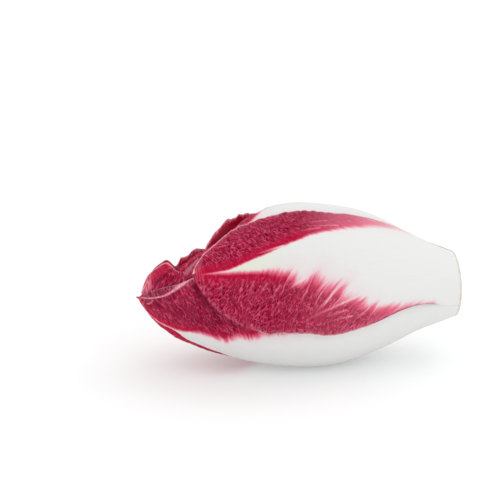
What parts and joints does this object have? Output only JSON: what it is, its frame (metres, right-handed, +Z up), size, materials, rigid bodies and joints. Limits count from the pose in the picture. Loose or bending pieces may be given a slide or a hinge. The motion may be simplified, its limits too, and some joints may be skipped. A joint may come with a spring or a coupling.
{
  "type": "red endive",
  "caption": "Head of red endive lying on its side: crimson leaves with broad white ribs, wrapped in layers round a short stem and closed to a point.",
  "frame": {"origin": "on the small flat spot that the head rests on, under its weight", "axes": "+X from the leaves' point to the cut butt, +Z up, -Y towards the side that the front leaf shows"},
  "size_m": [0.125, 0.0669, 0.0631],
  "materials": {
    "red_leaf": "crimson crinkled leaf blade with a smooth white rib and a soft waxy sheen",
    "stem": "moist white stem, its cut face a little browned"
  },
  "bodies": {
    "root": {"leaf_01_front": "red_leaf", "leaf_02_back": "red_leaf", "leaf_03_under": "red_leaf", "leaf_04_top": "red_leaf", "leaf_05_low_back": "red_leaf", "leaf_06_inner": "red_leaf", "leaf_07_inner": "red_leaf", "leaf_08_inner": "red_leaf", "leaf_09_inner": "red_leaf", "leaf_10_inner": "red_leaf", "leaf_11_inner": "red_leaf", "leaf_12_inner": "red_leaf", "leaf_13_inner": "red_leaf", "leaf_14_inner": "red_leaf", "leaf_15_inner": "red_leaf", "leaf_16_inner": "red_leaf", "leaf_17_inner": "red_leaf", "stem": "stem"}
  },
  "joints": []
}
